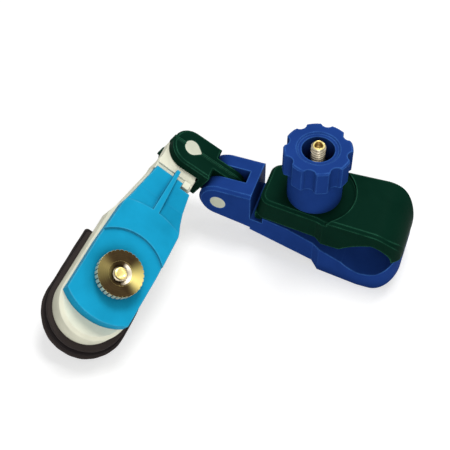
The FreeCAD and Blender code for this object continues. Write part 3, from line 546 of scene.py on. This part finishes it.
def strap_outline(points, low, high):
    """A strap layer's edge, from the cut end's right corner round to its left corner."""
    left, right = low.y, high.y
    start_right = max(point.y for point in points if point.x < low.x + CUT_END_REACH)
    widest = min(point.x for point in points if point.y > right - WIDEST_REACH)
    radius = (right - left) / 2
    centre = high.x - radius
    corner_end = low.x + STRAP_CORNER

    def corner(level, inward):
        turns = [math.pi / 2 * index / CORNER_STEPS for index in range(CORNER_STEPS + 1)]
        return [(low.x + STRAP_CORNER * (1 - math.sin(turn)),
                 level + inward * STRAP_CORNER * (1 - math.cos(turn))) for turn in turns]

    edge = corner(start_right, -1)[::-1]
    for index in range(1, FLARE_STEPS + 1):
        part = index / FLARE_STEPS
        ease = part * part * (3 - 2 * part)
        edge.append((corner_end + (widest - low.x - STRAP_CORNER) * part,
                     start_right + (right - start_right) * ease))
    edge += [(widest + (centre - widest) * part / 3, right) for part in (1, 2)]
    for index in range(ROUND_STEPS + 1):
        angle = math.pi * (0.5 - index / ROUND_STEPS)
        edge.append((centre + radius * math.cos(angle),
                     (left + right) / 2 + radius * math.sin(angle)))
    edge += [(centre + (corner_end - centre) * index / SIDE_STEPS, left)
             for index in range(1, SIDE_STEPS)]
    return edge + corner(left, 1)


def unevenness(index, phase):
    """How far a layer's edge strays from its outline at one of its points, in mm."""
    return (0.05 * math.sin(index * 0.37 + phase)
            + 0.03 * math.sin(index * 1.13 + 2 * phase) - 0.08)


def strap_piece(name, node, material, phase):
    """One layer of webbing with rounded selvedges and a slightly uneven edge."""
    points = local_points(node, NUT_FRAME)
    low, high = box_of(points)
    loop = [Vector(corner) for corner in strap_outline(points, low, high)]
    outward = []
    for index in range(len(loop)):
        tangent = (loop[(index + 1) % len(loop)] - loop[index - 1]).normalized()
        outward.append(Vector((-tangent.y, tangent.x)))
    build = bmesh.new()
    rings = []
    for offset, rise in SELVEDGE:
        level = low.z + (high.z - low.z) * rise
        ring = []
        for index, (corner, normal) in enumerate(zip(loop, outward)):
            point = corner + normal * (offset * MM + unevenness(index, phase) * MM)
            ring.append(build.verts.new(NUT_FRAME @ Vector((point.x, point.y, level))))
        rings.append(ring)
    skin(build, rings)
    for ring in (rings[0], rings[-1]):
        build.faces.new(ring)
    piece = new_piece(build, name, [material], STRAP_SHARP, "white_clip",
                      node)


strap_piece("strap_upper_web", "strap_upper_layer", strap_cloth, phase=0.0)
strap_piece("strap_middle_web", "strap_middle_layer", strap_inner, phase=1.9)
strap_piece("strap_lower_web", "strap_lower_layer", strap_cloth, phase=4.1)


# Floor, light and camera -----------------------------------------------------------

PLAIN_WHITE = (1, 1, 1, 1)
FLOOR_GREYS = (0.62, 0.62, 0.62, 1), (0.65, 0.65, 0.65, 1)
FLOOR_HALF = 4                        # half of the floor's side, in metres
FLOOR_DROP = 0.00002                  # the foot's flat face must not lie in the floor
NEAR_GLOW, FAR_GLOW = 0.50, 1.0
GLOW_FROM, GLOW_TO = 0.30, 0.90       # metres from the origin, between which it grows
WORLD_LIGHT, WORLD_SEEN = 0.28, 1.0   # the world's strength as light, and as background


def floor_material():
    """A pale floor that keeps the shadow. Its glow shows to the eye and in metal only."""
    nodes, place = new_material("pale_floor")
    diffuse = nodes.add("ShaderNodeBsdfDiffuse")
    nodes.join(nodes.mix(nodes.noise(place, 8.0), *FLOOR_GREYS), diffuse.inputs["Color"])
    glow = nodes.add("ShaderNodeEmission")
    glow.inputs["Color"].default_value = PLAIN_WHITE
    strength = nodes.span(nodes.vector("LENGTH", place), GLOW_FROM, GLOW_TO,
                          NEAR_GLOW, FAR_GLOW)
    nodes.join(nodes.times(nodes.background_rays(), strength), glow.inputs["Strength"])
    both = nodes.add("ShaderNodeAddShader")
    nodes.join(diffuse.outputs[0], both.inputs[0])
    nodes.join(glow.outputs[0], both.inputs[1])
    return nodes.surface(both)


floor_mesh = bpy.data.meshes.new("floor")
floor_mesh.from_pydata([(x * FLOOR_HALF, y * FLOOR_HALF, 0)
                        for x, y in ((-1, -1), (1, -1), (1, 1), (-1, 1))], [], [(0, 1, 2, 3)])
floor_mesh.materials.append(floor_material())
floor = bpy.data.objects.new("floor", floor_mesh)
bpy.context.scene.collection.objects.link(floor)
floor.location.z = -FLOOR_DROP

world = bpy.data.worlds.new("studio")
bpy.context.scene.world = world
sky = Nodes(world, "ShaderNodeOutputWorld")
background = sky.add("ShaderNodeBackground")
background.inputs["Color"].default_value = PLAIN_WHITE
sky.join(sky.span(sky.background_rays(), 0.0, 1.0, WORLD_LIGHT, WORLD_SEEN),
         background.inputs["Strength"])
sky.surface(background)


def look_at(holder, place, aim):
    """Puts a lamp or camera at a place, turned to what it aims at."""
    bpy.context.scene.collection.objects.link(holder)
    holder.location = place
    holder.rotation_mode = "QUATERNION"
    holder.rotation_quaternion = (aim - Vector(place)).to_track_quat("-Z", "Y")


# Each lamp's distance and direction from the object's middle, its side in metres and its watts.
LAMPS = {
    "key": (0.65, (0.05, 0.24, 0.95), 0.22, 2.0),
    "fill": (1.0, (0.20, -0.60, 0.40), 0.5, 2.6),
    "back": (0.62, (0.26, 0.72, 0.64), 0.14, 0.5),
}
middle = (Vector(CAD_BOX[0]) + Vector(CAD_BOX[1])) / 2
for lamp_name, (distance, direction, side, power) in LAMPS.items():
    light = bpy.data.lights.new(lamp_name, "AREA")
    light.shape = "RECTANGLE"
    light.size = light.size_y = side
    light.energy = power
    look_at(bpy.data.objects.new(lamp_name, light), middle + distance * Vector(direction),
            middle)

LENS, SENSOR_WIDTH = 92.0, 36.0       # millimetres
CAMERA_PLACE = (0.0353, -0.2337, 0.3113)
CAMERA_AIM = Vector((-0.04392, -0.00379, 0.0))
CLIP_START, CLIP_END = 0.01, 20.0
camera_data = bpy.data.cameras.new("camera")
camera_data.lens = LENS
camera_data.sensor_width = SENSOR_WIDTH
camera_data.clip_start, camera_data.clip_end = CLIP_START, CLIP_END
camera = bpy.data.objects.new("camera", camera_data)
look_at(camera, CAMERA_PLACE, CAMERA_AIM)
bpy.context.scene.camera = camera
bpy.context.scene.view_settings.view_transform = "Standard"
